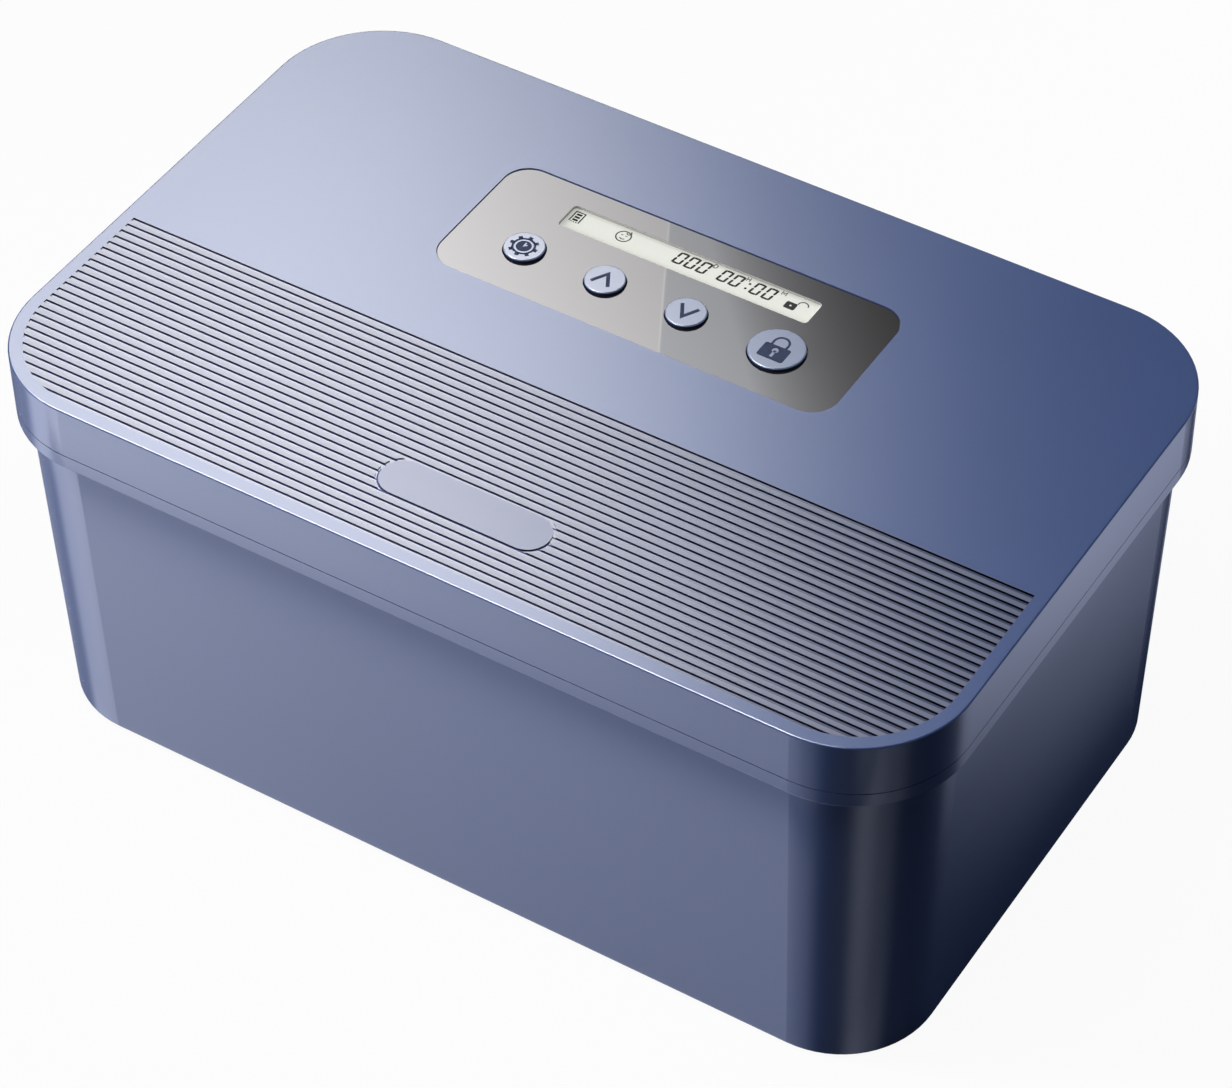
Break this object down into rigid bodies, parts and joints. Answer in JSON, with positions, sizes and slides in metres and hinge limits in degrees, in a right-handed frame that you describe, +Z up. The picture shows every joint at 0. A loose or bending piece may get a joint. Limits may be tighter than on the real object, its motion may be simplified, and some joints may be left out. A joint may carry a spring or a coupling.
{
  "type": "timed lock container",
  "caption": "Rectangular storage tub with a lift-off lid that carries a digital timer display, push buttons and a motor-driven latch.",
  "frame": {"origin": "middle of the underside of the four feet, on the surface it stands on", "axes": "+X along the long side, -Y the front with the ribbed part of the lid, +Z up"},
  "size_m": [0.27, 0.171, 0.1207],
  "materials": {
    "shell_blue": "satin",
    "foot_rubber": "matte",
    "fascia_gloss": "gloss",
    "clear_window": "clear",
    "display_cream": "satin",
    "backlight_white": "matte",
    "strip_rubber": "matte",
    "inner_blue": "matte",
    "black_plastic": "matte",
    "board_green": "solder mask",
    "bright_steel": "plated",
    "button_blue": "satin",
    "gear_white": "moulded",
    "pinion_brass": "machined",
    "plate_grey": "matte",
    "cell_jacket": "plain jacket",
    "lead_red": "insulation",
    "lead_black": "insulation"
  },
  "bodies": {
    "tub": {"tub_body": "shell_blue", "foot_front_left": "foot_rubber", "foot_front_right": "foot_rubber", "foot_back_left": "foot_rubber", "foot_back_right": "foot_rubber"},
    "lid": {"lid_cover": "shell_blue", "fascia_panel": "fascia_gloss", "display_window": "clear_window", "display_glass": "display_cream", "display_backlight": "backlight_white", "contact_strip_front": "strip_rubber", "contact_strip_back": "strip_rubber", "display_frame": "black_plastic", "control_board": "board_green", "controller_chip": "black_plastic", "motor_driver_chip": "black_plastic", "clock_crystal": "bright_steel", "buzzer": "black_plastic", "board_screws": "bright_steel", "switch_set": "black_plastic", "switch_up": "black_plastic", "switch_down": "black_plastic", "switch_lock": "black_plastic", "drive_gear_pin": "bright_steel", "second_gear_pin": "bright_steel", "first_gear_pin": "bright_steel", "lock_motor": "bright_steel", "gear_plate": "plate_grey", "gear_plate_screws": "bright_steel", "lid_inner_cover": "inner_blue", "inner_cover_screws": "bright_steel", "battery_cell_front": "cell_jacket", "battery_cell_back": "cell_jacket", "battery_link_contact": "bright_steel", "battery_end_contacts": "bright_steel", "latch_limit_switch": "black_plastic", "motor_lead_left": "lead_red", "motor_lead_right": "lead_black", "battery_lead_front": "lead_red", "battery_lead_back": "lead_black"},
    "battery_door": {"battery_door": "inner_blue"},
    "latch_left": {"latch_bar_left": "gear_white"},
    "latch_right": {"latch_bar_right": "gear_white"},
    "drive_gear": {"drive_gear": "gear_white"},
    "second_gear": {"second_gear": "gear_white"},
    "first_gear": {"first_gear": "gear_white"},
    "motor_rotor": {"motor_shaft": "bright_steel", "motor_pinion": "pinion_brass"},
    "button_set": {"button_set": "button_blue", "plunger_set": "black_plastic"},
    "button_up": {"button_up": "button_blue", "plunger_up": "black_plastic"},
    "button_down": {"button_down": "button_blue", "plunger_down": "black_plastic"},
    "button_lock": {"button_lock": "button_blue", "plunger_lock": "black_plastic"}
  },
  "joints": [
    {"name": "lid_lift", "type": "slide", "parent": "tub", "child": "lid", "axis": [0, 0, 1], "range_m": [0, 0.12]},
    {"name": "battery_door_release", "type": "slide", "parent": "lid", "child": "battery_door", "axis": [0, 0, -1], "range_m": [0, 0.05]},
    {"name": "drive_gear_spin", "type": "hinge", "parent": "lid", "child": "drive_gear", "pos_m": [0, 0, 0.096], "axis": [0, 0, 1], "range_deg": [0, 35.81]},
    {"name": "second_gear_spin", "type": "hinge", "parent": "lid", "child": "second_gear", "pos_m": [0, -0.015, 0.096], "axis": [0, 0, 1], "range_deg": [-145, 0]},
    {"name": "first_gear_spin", "type": "hinge", "parent": "lid", "child": "first_gear", "pos_m": [0.00848, -0.02348, 0.096], "axis": [0, 0, 1], "range_deg": [0, 432]},
    {"name": "motor_spin", "type": "hinge", "parent": "lid", "child": "motor_rotor", "pos_m": [0.01898, -0.02348, 0.096], "axis": [0, 0, 1], "range_deg": [-1080, 0]},
    {"name": "latch_left_throw", "type": "slide", "parent": "lid", "child": "latch_left", "axis": [-1, 0, 0], "range_m": [0, 0.00502]},
    {"name": "latch_right_throw", "type": "slide", "parent": "lid", "child": "latch_right", "axis": [1, 0, 0], "range_m": [0, 0.00502]},
    {"name": "button_set_press", "type": "slide", "parent": "lid", "child": "button_set", "axis": [0, 0, -1], "range_m": [0, 0.0004], "stiffness_N_per_m": 1500, "springref_m": -0.0004},
    {"name": "button_up_press", "type": "slide", "parent": "lid", "child": "button_up", "axis": [0, 0, -1], "range_m": [0, 0.0004], "stiffness_N_per_m": 1500, "springref_m": -0.0004},
    {"name": "button_down_press", "type": "slide", "parent": "lid", "child": "button_down", "axis": [0, 0, -1], "range_m": [0, 0.0004], "stiffness_N_per_m": 1500, "springref_m": -0.0004},
    {"name": "button_lock_press", "type": "slide", "parent": "lid", "child": "button_lock", "axis": [0, 0, -1], "range_m": [0, 0.0004], "stiffness_N_per_m": 1500, "springref_m": -0.0004}
  ],
  "couplings": [
    {"joint": "second_gear_spin", "follows": "drive_gear_spin", "ratio": -4},
    {"joint": "first_gear_spin", "follows": "drive_gear_spin", "ratio": 12},
    {"joint": "motor_spin", "follows": "drive_gear_spin", "ratio": -30},
    {"joint": "latch_left_throw", "follows": "drive_gear_spin", "m_per_rad": 0.008},
    {"joint": "latch_right_throw", "follows": "drive_gear_spin", "m_per_rad": 0.008}
  ]
}
